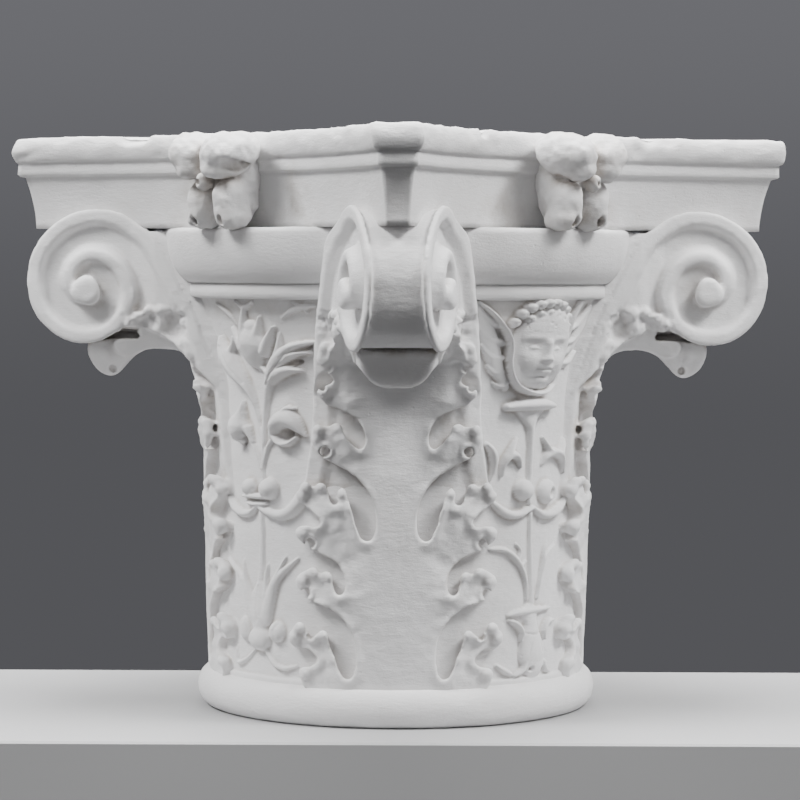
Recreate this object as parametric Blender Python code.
"""Renaissance capital cast in one piece of plaster: a bell on a round base roll, four tall lobed
leaves under four corner volutes, low relief on the four panels and a square abacus with hollow sides.

Metres, +Z up. The origin is the centre of the underside, and the abacus is square to X and Y.
A corner is drawn in three coordinates: out (distance from the axis along the diagonal), side
(distance across the diagonal) and height. A panel is drawn in side, height and rise above the bell.
"""
import math

import bmesh
import bpy
from mathutils import Matrix, Vector

MM = 0.001

# Overall sizes
HEIGHT = 400 * MM
ABACUS_HEIGHT = 64 * MM
RING_HEIGHT = 38 * MM
FILLET_HEIGHT = 9.5 * MM
BASE_HEIGHT = 26.5 * MM

# Turned core: base roll, bell, fillet and ring
BELL_RADIUS = 129 * MM
BELL_FLARE = 17.5 * MM
FLARE_HEIGHT = 88.5 * MM
FLARE_POWER = 2.5
FLARE_SHARES = (0.0, 0.4, 0.7, 0.88, 1.0)
BASE_STEP = 2.5 * MM
BASE_BULGE = 9.5 * MM
FILLET_STEP = 6.5 * MM
RING_BULGE = 14.5 * MM
RING_EDGE = 4 * MM
LEDGE_OVERLAP = 1 * MM
CORE_NECK = 120 * MM
TURN_SEGMENTS = 32
FLAT_ANGLE = 4.5
ROLL_POINTS = 6

# Abacus
ABACUS_HALF = 199 * MM
ABACUS_HOLLOW = 50 * MM
HOLLOW_RADIUS = 356 * MM
CORNER_CUT = 12.4 * MM
CAVETTO_DEPTH = 8 * MM
CAVETTO_LIP = 3.2 * MM
CORNER_SETBACK = 1.63
CAVETTO_SHARE = 0.586
ABACUS_FILLET = 9 * MM
ABACUS_ROLL = 4.3 * MM
SIDE_SEGMENTS = 8

# Volutes
EYE_INSET = 50.5 * MM
EYE_DROP = 43.5 * MM
EYE_RADIUS = 10 * MM
EYE_RISE = 5 * MM
SCROLL_RADIUS = 54.8 * MM
SCROLL_SHARES = (1.0, 0.766, 0.675, 0.63, 0.511, 0.219)
SCROLL_STEP = 37.5
RIM_WIDTH = 9.5 * MM
RIM_INNER_SHARE = 0.72
CHANNEL_DEPTH = 8 * MM
HUB_RISE = 4.3 * MM
BOLSTER_HOLLOW = 3 * MM
WEB_SINK = 14 * MM
WEB_TURN = 225
WEB_STEP = 25

# Half width of the volute at shares of the way out from the bell to the scroll's outermost point
VOLUTE_HALF = 55 * MM
WIDTH_SHARES = (
    (0.00, 1.00), (0.15, 0.945), (0.23, 0.909), (0.32, 0.818), (0.45, 0.609), (0.60, 0.545),
    (0.71, 0.509), (0.86, 0.427), (1.00, 0.336),
)
# The sweep from the leaf's back up to the scroll: shares of the run out and of the rise
SWEEP_SHARES = (
    (0.00, 0.00), (0.131, 0.317), (0.24, 0.489), (0.339, 0.652), (0.459, 0.847),
    (0.60, 0.945), (0.80, 1.01), (0.96, 1.015),
)
SWEEP_START = 237 * MM

# Raised band down each edge of a panel: height, half width and rise above the bell
BAND_STATIONS = (
    (148 * MM, 65.5 * MM, 1.0 * MM), (170 * MM, 61 * MM, 4.5 * MM),
    (192 * MM, 57.7 * MM, 5.0 * MM), (215 * MM, 56.3 * MM, 6.0 * MM),
)
BAND_WIDTH = 5 * MM

# The carving's heights are drawn on a bell of this height, between the base roll and the fillet, and
# are stretched with the real one
DRAWN_BASE = 26.5 * MM
DRAWN_BELL = 262 * MM

# Leaves: silhouette down the middle as height and rise above the bell
LEAF_PROFILE = (
    (26 * MM, 3.5 * MM), (60 * MM, 3.5 * MM), (93 * MM, 7.0 * MM), (118 * MM, 4.0 * MM),
    (154 * MM, 11.3 * MM), (168 * MM, 5.2 * MM), (202 * MM, 12.7 * MM), (211 * MM, 10.5 * MM),
    (226 * MM, 19 * MM), (243 * MM, 26.5 * MM),
    (262 * MM, 27 * MM),
)
LEAF_FOOT = 24 * MM
LEAF_SINK = 8 * MM
# Each tier of lobes: groove's side and height, outermost side, start and tip heights
TIERS = (
    (33 * MM, 34 * MM, 71.5 * MM, 45 * MM, 70 * MM),
    (38 * MM, 91 * MM, 67 * MM, 84 * MM, 107.5 * MM),
    (22 * MM, 128 * MM, 66 * MM, 126 * MM, 165 * MM),
    (25 * MM, 189 * MM, 56.5 * MM, 183 * MM, 206 * MM),
)
FOOT_HALF = 58 * MM
TOP_TIER = ((47 * MM, 217 * MM), (52 * MM, 223 * MM), (51 * MM, 234 * MM), (42 * MM, 235 * MM),
            (51 * MM, 244 * MM), (52 * MM, 257 * MM), (43 * MM, 259 * MM), (28 * MM, 258 * MM))
KNOB_RISE = 5 * MM
KNOB_SPREAD = 9 * MM
LEAF_COLUMN = 21 * MM

TIP_SIDES = 6
# Drooping tip of each leaf: out beyond the bell, height, half thickness and half width
TIP_STATIONS = (
    (18 * MM, 252 * MM, 7.0 * MM, 30 * MM), (39 * MM, 257 * MM, 5.5 * MM, 28 * MM),
    (55 * MM, 256 * MM, 6.0 * MM, 26 * MM),
    (69 * MM, 250 * MM, 8.0 * MM, 24 * MM), (77 * MM, 243 * MM, 8.5 * MM, 19 * MM),
    (77 * MM, 235 * MM, 6.5 * MM, 11 * MM), (75.5 * MM, 231.5 * MM, 3.0 * MM, 5 * MM),
)

# Flowers at the middle of the abacus's sides: a body, upper petals, lower petals and a bead, as
# side, distance in from the bead, height above the ledge, and half sizes across, out and up
FLOWER_INSET = 18 * MM
FLOWER_BELOW = 0.3 * MM
ROUND_SIDES = 6
ROUND_RINGS = 4
BOSS_SIDES = 7
FLOWER_PETALS = (
    (0 * MM, 25 * MM, 29 * MM, 21 * MM, 21 * MM, 31 * MM),
    (21 * MM, 17 * MM, 45 * MM, 23 * MM, 19 * MM, 20 * MM),
    (14 * MM, 17 * MM, 15.5 * MM, 14.5 * MM, 15 * MM, 18.5 * MM),
    (0 * MM, 5 * MM, 31 * MM, 7.5 * MM, 12.7 * MM, 7.5 * MM),
)

# Relief on the panels. A boss has side, height, half width, half height, rise and tilt in degrees.
# A vine has its width, its rise and the side and height of each point.
RELIEF_SINK = 1.5 * MM
PLANT_BOSSES = (
    (2 * MM, 256 * MM, 17 * MM, 14 * MM, 5 * MM, 0),
    (-22 * MM, 240 * MM, 13 * MM, 20 * MM, 4 * MM, 25),
    (27 * MM, 241 * MM, 15 * MM, 23 * MM, 4 * MM, -35),
    (-22 * MM, 203 * MM, 12 * MM, 16 * MM, 5 * MM, 35),
    (22 * MM, 200 * MM, 12 * MM, 17 * MM, 5 * MM, -35),
    (-9 * MM, 156 * MM, 8.5 * MM, 8.5 * MM, 7 * MM, 0),
    (8.5 * MM, 156 * MM, 8.5 * MM, 8.5 * MM, 7 * MM, 0),
    (0 * MM, 58 * MM, 19 * MM, 11 * MM, 5 * MM, 0),
)
PLANT_VINES = (
    (6 * MM, 4 * MM, ((0 * MM, 246 * MM), (0 * MM, 160 * MM), (0 * MM, 60 * MM))),
    (5 * MM, 5 * MM, ((-4 * MM, 147 * MM), (-18 * MM, 139 * MM), (-32 * MM, 144 * MM),
                      (-41 * MM, 153 * MM))),
    (5 * MM, 5 * MM, ((4 * MM, 146 * MM), (18 * MM, 139.5 * MM), (30 * MM, 148 * MM),
                      (38 * MM, 158 * MM))),
    (8 * MM, 4 * MM, ((0 * MM, 72 * MM), (-18 * MM, 94 * MM), (-41 * MM, 108 * MM))),
    (8 * MM, 4 * MM, ((0 * MM, 72 * MM), (14 * MM, 93 * MM), (32 * MM, 110 * MM))),
)
CHERUB_BOSSES = (
    (3 * MM, 254 * MM, 23 * MM, 30 * MM, 11 * MM, -4),
    (-38 * MM, 256 * MM, 14 * MM, 32 * MM, 5 * MM, 18),
    (31 * MM, 249 * MM, 12 * MM, 20 * MM, 4 * MM, -25),
    (-1.5 * MM, 218 * MM, 24 * MM, 6.5 * MM, 6 * MM, 0),
    (-23 * MM, 181 * MM, 16 * MM, 8 * MM, 5 * MM, -35),
    (27 * MM, 179 * MM, 16 * MM, 8 * MM, 5 * MM, 35),
    (-8.5 * MM, 156 * MM, 8.5 * MM, 10 * MM, 7 * MM, 0),
    (14 * MM, 155 * MM, 9.5 * MM, 10 * MM, 6 * MM, 0),
    (1.5 * MM, 75 * MM, 23 * MM, 6.5 * MM, 5 * MM, 0),
    (2 * MM, 50 * MM, 12.5 * MM, 12 * MM, 6 * MM, 0),
)
CHERUB_VINES = (
    (5 * MM, 7 * MM, ((-50 * MM, 284 * MM), (-30 * MM, 266 * MM), (-24 * MM, 237 * MM), (-5 * MM, 224 * MM),
                      (20 * MM, 231 * MM))),
    (7 * MM, 4 * MM, ((-1.5 * MM, 216 * MM), (-1 * MM, 150 * MM), (0 * MM, 60 * MM))),
    (5 * MM, 5 * MM, ((-32 * MM, 156 * MM), (-24 * MM, 145 * MM), (-12 * MM, 139.5 * MM),
                      (-1.5 * MM, 144 * MM))),
    (5 * MM, 5 * MM, ((3 * MM, 145 * MM), (15 * MM, 139 * MM), (26 * MM, 141 * MM), (34 * MM, 147 * MM))),
    (4 * MM, 3 * MM, ((-32 * MM, 120 * MM), (-17 * MM, 117 * MM), (-7 * MM, 103 * MM), (-3 * MM, 80 * MM))),
    (4 * MM, 3 * MM, ((26 * MM, 117 * MM), (13 * MM, 111 * MM), (5 * MM, 80 * MM))),
)
PLAIN_BOSSES = PLANT_BOSSES[:1] + PLANT_BOSSES[5:7]
PLAIN_VINES = PLANT_VINES[:1]
# Left, front, right and back panels, as the direction that each one faces in degrees
PANELS = (
    (180, PLANT_BOSSES, PLANT_VINES),
    (270, CHERUB_BOSSES, CHERUB_VINES),
    (0, PLAIN_BOSSES, PLAIN_VINES),
    (90, PLAIN_BOSSES, PLAIN_VINES),
)

# Sizes and heights worked out from the sizes above
ABACUS_BASE = HEIGHT - ABACUS_HEIGHT
RING_BASE = ABACUS_BASE - RING_HEIGHT
BELL_TOP = RING_BASE - FILLET_HEIGHT
FLARE_START = BELL_TOP - FLARE_HEIGHT
FILLET_RADIUS = BELL_RADIUS + BELL_FLARE + FILLET_STEP
RING_RADIUS = FILLET_RADIUS + RING_BULGE
CUT_PLANE = ABACUS_HALF * math.sqrt(2) - CORNER_CUT
EYE_OUT = CUT_PLANE - EYE_INSET
EYE_HEIGHT = ABACUS_BASE - EYE_DROP
SCROLL_OUT = EYE_OUT + SCROLL_RADIUS * SCROLL_SHARES[1]
FLOWER_OUT = ABACUS_HALF - FLOWER_INSET


def clear_scene():
    for item in list(bpy.data.objects):
        bpy.data.objects.remove(item, do_unlink=True)


def plaster_material():
    material = bpy.data.materials.new("white_plaster")
    material.use_nodes = True
    surface = material.node_tree.nodes["Principled BSDF"]
    surface.inputs["Base Color"].default_value = (0.80, 0.79, 0.78, 1)
    surface.inputs["Roughness"].default_value = 0.8
    surface.inputs["Metallic"].default_value = 0.0
    return material


def along(table, position):
    """Read a value off a table of (position, value) pairs, straight between them."""
    if position <= table[0][0]:
        return table[0][1]
    for (start, first), (end, last) in zip(table, table[1:]):
        if position <= end:
            return first + (last - first) * (position - start) / (end - start)
    return table[-1][1]


def carved(height):
    """Real height of a height that is drawn on the carving."""
    return BASE_HEIGHT + (height - DRAWN_BASE) * (BELL_TOP - BASE_HEIGHT) / DRAWN_BELL


def bell_radius(height):
    climb = min(max((height - FLARE_START) / FLARE_HEIGHT, 0.0), 1.0)
    return BELL_RADIUS + BELL_FLARE * climb ** FLARE_POWER


def loft(rings):
    """Skin a closed body over a run of rings that have as many points each."""
    bm = bmesh.new()
    rows = [[bm.verts.new(point) for point in ring] for ring in rings]
    for row, following in zip(rows, rows[1:]):
        for i in range(len(row)):
            j = (i + 1) % len(row)
            bm.faces.new((row[i], row[j], following[j], following[i]))
    bm.faces.new(rows[0])
    bm.faces.new(rows[-1])
    bmesh.ops.recalc_face_normals(bm, faces=bm.faces)
    return bm


def to_object(name, bm):
    mesh = bpy.data.meshes.new(name)
    bm.to_mesh(mesh)
    bm.free()
    piece = bpy.data.objects.new(name, mesh)
    return piece


def quarter_turns(piece, first_angle):
    """Give the piece and its three copies, one for each quarter of the circle."""
    copies = [piece]
    for turn in range(1, 4):
        copies.append(bpy.data.objects.new("%s_%d" % (piece.name, turn), piece.data))
    for turn, item in enumerate(copies):
        item.rotation_euler.z = first_angle + turn * math.pi / 2
    return copies


# Turned core

def core_profile():
    """Outline of the turned core from the underside's centre up its outer side to the neck's top."""
    roll_centre = BASE_HEIGHT / 2
    roll_radius = BELL_RADIUS + BASE_STEP
    points = [(0.0, 0.0)]
    for i in range(ROLL_POINTS + 1):
        angle = math.pi * (i / ROLL_POINTS - 0.5)
        radius = roll_radius + BASE_BULGE * math.cos(angle)
        points.append((radius, roll_centre + roll_centre * math.sin(angle)))
    points.append((BELL_RADIUS, BASE_HEIGHT))
    for share in FLARE_SHARES:
        height = FLARE_START + FLARE_HEIGHT * share
        points.append((bell_radius(height), height))
    points.append((FILLET_RADIUS, BELL_TOP))
    points.append((FILLET_RADIUS, RING_BASE))
    rise = RING_HEIGHT - RING_EDGE
    for i in range(1, 5):
        angle = math.pi / 2 * i / 4
        radius = FILLET_RADIUS + RING_BULGE * math.sin(angle)
        points.append((radius, RING_BASE + rise * (1 - math.cos(angle))))
    points.append((RING_RADIUS - RING_EDGE, ABACUS_BASE + LEDGE_OVERLAP))
    points.append((CORE_NECK, ABACUS_BASE + LEDGE_OVERLAP))
    points.append((CORE_NECK, ABACUS_BASE + ABACUS_HEIGHT / 4))
    points.append((0.0, ABACUS_BASE + ABACUS_HEIGHT / 4))
    return points


def turned_core():
    bm = bmesh.new()
    verts = [bm.verts.new((radius, 0.0, height)) for radius, height in core_profile()]
    edges = [bm.edges.new(pair) for pair in zip(verts, verts[1:])]
    bmesh.ops.spin(
        bm, geom=verts + edges, cent=(0, 0, 0), axis=(0, 0, 1), angle=2 * math.pi, steps=TURN_SEGMENTS,
        use_merge=True,
    )
    bmesh.ops.remove_doubles(bm, verts=bm.verts, dist=0.00001)
    bmesh.ops.recalc_face_normals(bm, faces=bm.faces)
    return to_object("capital", bm)


# Abacus

def abacus_outline(offset, height):
    """Four hollow sides and four cut corners, moved out by offset from the abacus's fillet.

    Below the fillet the cut corners step back further than the sides do.
    """
    centre = ABACUS_HALF - ABACUS_HOLLOW + HOLLOW_RADIUS
    radius = HOLLOW_RADIUS - offset
    cut = CUT_PLANE + offset * (CORNER_SETBACK if offset < 0 else 1.0)
    end = math.pi / 4 + math.asin((cut - centre / math.sqrt(2)) / radius)
    points = []
    for side in range(4):
        turn = Matrix.Rotation(side * math.pi / 2, 3, "Z")
        for i in range(SIDE_SEGMENTS + 1):
            angle = end * (2 * i / SIDE_SEGMENTS - 1)
            spot = Vector((centre - radius * math.cos(angle), radius * math.sin(angle), height))
            points.append(turn @ spot)
    return points


def abacus():
    fillet_base = ABACUS_BASE + ABACUS_HEIGHT * CAVETTO_SHARE
    roll_base = fillet_base + ABACUS_FILLET
    hollow = fillet_base - ABACUS_BASE
    levels = [
        (-CAVETTO_DEPTH, ABACUS_BASE),
        (-CAVETTO_DEPTH * 0.77, ABACUS_BASE + hollow * 0.28),
        (-CAVETTO_DEPTH * 0.60, ABACUS_BASE + hollow * 0.60),
        (-CAVETTO_LIP, fillet_base - 0.5 * MM),
        (0.0, fillet_base),
        (0.0, roll_base),
    ]
    roll_half = (HEIGHT - roll_base) / 2
    for degrees in (-45, 0, 45, 90):
        angle = math.radians(degrees)
        levels.append((ABACUS_ROLL * math.cos(angle), roll_base + roll_half * (1 + math.sin(angle))))
    return to_object("abacus", loft([abacus_outline(offset, height) for offset, height in levels]))


# Volutes

def volute_half(out):
    share = (out - BELL_RADIUS) / (SCROLL_OUT - BELL_RADIUS)
    return VOLUTE_HALF * along(WIDTH_SHARES, share)


def scroll_radius(degrees):
    """Outer radius of the scroll, eased between its quarter turns."""
    quarter = min(int(degrees // 90), len(SCROLL_SHARES) - 2)
    share = degrees / 90 - quarter
    return SCROLL_RADIUS * (SCROLL_SHARES[quarter] * (1 - share) + SCROLL_SHARES[quarter + 1] * share)


def rim_stations():
    """Out, height, half width and thickness of the rim from the panel's edge to the scroll's eye."""
    stations = []
    for drawn, half, rise in BAND_STATIONS:
        height = carved(drawn)
        out = math.sqrt((bell_radius(height) + rise) ** 2 - half ** 2)
        stations.append((out, height, half, BAND_WIDTH))
    start = carved(SWEEP_START)
    top = EYE_HEIGHT + SCROLL_RADIUS
    for run, climb in SWEEP_SHARES:
        out = BELL_RADIUS + run * (EYE_OUT - BELL_RADIUS)
        height = start + climb * (top - start)
        stations.append((out, height, volute_half(out), RIM_WIDTH))
    last = 90 * (len(SCROLL_SHARES) - 1)
    for i in range(1, int(last / SCROLL_STEP) + 1):
        degrees = i * SCROLL_STEP
        angle = math.radians(degrees)
        radius = scroll_radius(degrees)
        out = EYE_OUT + radius * math.sin(angle)
        height = EYE_HEIGHT + radius * math.cos(angle)
        inward = degrees / last
        hub = HUB_RISE * max(0.0, inward * 3 - 2)
        width = RIM_WIDTH * (1 + (RIM_INNER_SHARE - 1) * inward)
        stations.append((out, height, volute_half(out) + hub, width))
    return stations


def rim():
    """Ribbon as wide as the volute, rolled up into the scroll, a little hollow between its edges."""
    stations = rim_stations()
    rings = []
    for i, (out, height, half, thickness) in enumerate(stations):
        before = stations[max(i - 1, 0)]
        after = stations[min(i + 1, len(stations) - 1)]
        run = Vector((after[0] - before[0], after[1] - before[1])).normalized()
        inward = Vector((run.y, -run.x))
        inner = Vector((out, height)) + inward * thickness
        middle = Vector((out, height)) + inward * BOLSTER_HOLLOW
        rings.append([
            (out, half, height), (inner.x, half, inner.y), (inner.x, -half, inner.y), (out, -half, height),
            (middle.x, 0.0, middle.y),
        ])
    return to_object("volute_rim", loft(rings))


def web_outline():
    """Side view of the solid between the rims: the stem from the bell and the scroll's channel."""
    points = [(BELL_RADIUS - WEB_SINK, FLARE_START)]
    half_rim = RIM_WIDTH / 2
    start = carved(SWEEP_START)
    top = EYE_HEIGHT + SCROLL_RADIUS
    for run, climb in SWEEP_SHARES[:-1]:
        out = BELL_RADIUS + run * (EYE_OUT - BELL_RADIUS) + half_rim * (1 - run)
        height = start + climb * (top - start) - half_rim * run
        points.append((out, height))
    for degrees in range(0, WEB_TURN + 1, WEB_STEP):
        radius = scroll_radius(degrees) - half_rim
        angle = math.radians(degrees)
        points.append((EYE_OUT + radius * math.sin(angle), EYE_HEIGHT + radius * math.cos(angle)))
    root, bend = TIP_STATIONS[:2]
    points.append((BELL_RADIUS + bend[0], carved(bend[1]) + bend[2] / 2))
    points.append((BELL_RADIUS + root[0], carved(root[1])))
    points.append((BELL_RADIUS, FLARE_START))
    return points


def web():
    bm = bmesh.new()
    bm.faces.new([bm.verts.new((out, 0.0, height)) for out, height in web_outline()])
    for share, _ in WIDTH_SHARES[1:-1:2]:
        plane = BELL_RADIUS + share * (SCROLL_OUT - BELL_RADIUS)
        geometry = list(bm.verts) + list(bm.edges) + list(bm.faces)
        bmesh.ops.bisect_plane(bm, geom=geometry, plane_co=(plane, 0, 0), plane_no=(1, 0, 0))
    sheet = list(bm.faces)
    near = list(bm.verts)
    grown = bmesh.ops.extrude_face_region(bm, geom=sheet)
    far = [item for item in grown["geom"] if isinstance(item, bmesh.types.BMVert)]
    for side, verts in ((-1, near), (1, far)):
        for vert in verts:
            vert.co.y = side * (volute_half(vert.co.x) - CHANNEL_DEPTH)
    bmesh.ops.recalc_face_normals(bm, faces=bm.faces)
    return to_object("volute_web", bm)


def eye():
    size = Matrix.Diagonal((EYE_RADIUS, EYE_RADIUS, volute_half(EYE_OUT) + EYE_RISE, 1.0))
    turn = Matrix.Rotation(math.pi / 2, 4, "X")
    return round_form("volute_eye", Matrix.Translation((EYE_OUT, 0.0, EYE_HEIGHT)) @ turn @ size)


# Leaves

def tier_outline(groove_side, groove_height, outermost, start, tip):
    """One tier of lobes from its start round its two tips and up the long groove above it."""
    reach = outermost - groove_side
    rise = tip - start
    return [
        (groove_side + reach * 0.66, start),
        (outermost, start + rise * 0.72),
        (groove_side + reach * 0.80, tip - rise * 0.04),
        (groove_side + reach * 0.60, tip - rise * 0.24),
        (groove_side + reach * 0.36, tip),
        (groove_side, groove_height),
        (groove_side - 3 * MM, groove_height + 5 * MM),
        (groove_side + 8 * MM, tip + 6.5 * MM),
    ]


def leaf_half():
    """Right half of the leaf's outline from its foot to its top, as side and height."""
    points = [(FOOT_HALF, LEAF_FOOT)]
    for tier in TIERS:
        points += tier_outline(*tier)
    points += TOP_TIER
    return points


def knob_rise(side, height):
    """Swelling at the tips of the lobes."""
    rise = 0.0
    for groove_side, _, outermost, _, tip in TIERS:
        centre = groove_side + (outermost - groove_side) * 0.72
        distance = math.hypot(abs(side) - centre, height - tip + KNOB_SPREAD * 0.6)
        rise = max(rise, KNOB_RISE * math.exp(-(distance / KNOB_SPREAD) ** 2))
    return rise


def leaf():
    """Lobed sheet laid round the bell, with its middle on the leaf's silhouette."""
    half = leaf_half()
    outline = half + [(-side, height) for side, height in reversed(half)]
    bm = bmesh.new()
    bm.faces.new([bm.verts.new((0.0, side, height)) for side, height in outline])
    cuts = [((0, side, 0), (0, 1, 0)) for side in (-LEAF_COLUMN, 0.0, LEAF_COLUMN)]
    cuts += [((0, 0, height), (0, 0, 1)) for height, _ in LEAF_PROFILE[1:-1]]
    for point, normal in cuts:
        geometry = list(bm.verts) + list(bm.edges) + list(bm.faces)
        bmesh.ops.bisect_plane(bm, geom=geometry, plane_co=point, plane_no=normal)
    back = list(bm.verts)
    grown = bmesh.ops.extrude_face_region(bm, geom=list(bm.faces))
    front = [item for item in grown["geom"] if isinstance(item, bmesh.types.BMVert)]
    for vert in back:
        radius = BELL_RADIUS - LEAF_SINK
        vert.co.x = math.sqrt(radius ** 2 - vert.co.y ** 2)
        vert.co.z = carved(vert.co.z)
    for vert in front:
        side, height = vert.co.y, vert.co.z
        radius = BELL_RADIUS + along(LEAF_PROFILE, height) + knob_rise(side, height)
        vert.co.x = math.sqrt(radius ** 2 - side ** 2)
        vert.co.z = carved(height)
    bmesh.ops.recalc_face_normals(bm, faces=bm.faces)
    return to_object("leaf", bm)


def leaf_tip():
    """Tip that leaves the bell under the scroll, arches out and droops."""
    rings = []
    for i, (beyond, height, thick, half) in enumerate(TIP_STATIONS):
        before = TIP_STATIONS[max(i - 1, 0)]
        after = TIP_STATIONS[min(i + 1, len(TIP_STATIONS) - 1)]
        run = Vector((after[0] - before[0], after[1] - before[1])).normalized()
        normal = Vector((-run.y, run.x))
        centre = Vector((BELL_RADIUS + beyond, carved(height)))
        ring = []
        for k in range(TIP_SIDES):
            angle = 2 * math.pi * k / TIP_SIDES
            spot = centre + normal * thick * math.sin(angle)
            ring.append((spot.x, half * math.cos(angle), spot.y))
        rings.append(ring)
    return to_object("leaf_tip", loft(rings))


# Flowers and relief

def round_form(name, matrix):
    bm = bmesh.new()
    bmesh.ops.create_uvsphere(bm, u_segments=ROUND_SIDES, v_segments=ROUND_RINGS, radius=1.0, matrix=matrix)
    return to_object(name, bm)


def flower():
    """Open flower on the ledge, made of round forms that sink into each other."""
    pieces = []
    for side, inset, rise, half_side, half_out, half_up in FLOWER_PETALS:
        for hand in ((1,) if side == 0 else (-1, 1)):
            centre = Vector((FLOWER_OUT - inset, hand * side, ABACUS_BASE + rise))
            top = min(centre.z + half_up, HEIGHT - FLOWER_BELOW)
            size = Matrix.Diagonal((half_out, half_side, top - centre.z, 1.0))
            pieces.append(round_form("petal", Matrix.Translation(centre) @ size))
    return pieces


def on_bell(side, height, rise):
    """Point on a panel that faces +X, wrapped round the bell."""
    angle = side / BELL_RADIUS
    radius = bell_radius(carved(height)) + rise
    return Vector((radius * math.cos(angle), radius * math.sin(angle), carved(height)))


def boss(side, height, half_side, half_height, rise, tilt):
    """Flattened round form lying on the bell, tilted in the panel's surface."""
    bm = bmesh.new()
    bmesh.ops.create_uvsphere(bm, u_segments=BOSS_SIDES, v_segments=ROUND_RINGS, radius=1.0)
    turn = Matrix.Rotation(math.radians(tilt), 2)
    for vert in bm.verts:
        across = turn @ Vector((vert.co.x * half_side, vert.co.y * half_height))
        vert.co = on_bell(side + across.x, height + across.y, vert.co.z * rise)
    return to_object("boss", bm)


def vine(width, rise, points):
    """Low ridge along a run of points on the bell, narrower at both ends."""
    rings = []
    for i, (side, height) in enumerate(points):
        before = Vector(points[max(i - 1, 0)])
        after = Vector(points[min(i + 1, len(points) - 1)])
        run = (after - before).normalized()
        across = Vector((-run.y, run.x))
        half = width / 2 * (0.7 if i in (0, len(points) - 1) else 1.0)
        ring = []
        for share, lift in ((-1.0, -RELIEF_SINK), (-0.45, rise), (0.45, rise), (1.0, -RELIEF_SINK)):
            spot = Vector((side, height)) + across * half * share
            ring.append(on_bell(spot.x, spot.y, lift))
        rings.append(ring)
    return to_object("vine", loft(rings))


def panel_relief():
    pieces = []
    for facing, bosses, vines in PANELS:
        shapes = [boss(*sizes) for sizes in bosses] + [vine(*sizes) for sizes in vines]
        for shape in shapes:
            shape.rotation_euler.z = math.radians(facing)
        pieces += shapes
    return pieces


def main():
    clear_scene()
    plaster = plaster_material()
    capital = turned_core()
    bpy.context.scene.collection.objects.link(capital)
    additions = bpy.data.collections.new("additions")
    bpy.context.scene.collection.children.link(additions)
    corner_angle = math.radians(225)
    pieces = [abacus()]
    for piece in (rim(), web(), eye(), leaf(), leaf_tip()):
        pieces += quarter_turns(piece, corner_angle)
    for petal in flower():
        pieces += quarter_turns(petal, 0.0)
    pieces += panel_relief()
    for piece in pieces:
        additions.objects.link(piece)
        piece.hide_render = True
        piece.display_type = "WIRE"
    union = capital.modifiers.new("union", "BOOLEAN")
    union.operation = "UNION"
    union.solver = "EXACT"
    union.use_self = True
    union.operand_type = "COLLECTION"
    union.collection = additions
    flat = capital.modifiers.new("flat", "DECIMATE")
    flat.decimate_type = "DISSOLVE"
    flat.angle_limit = math.radians(FLAT_ANGLE)
    capital.data.materials.append(plaster)


main()
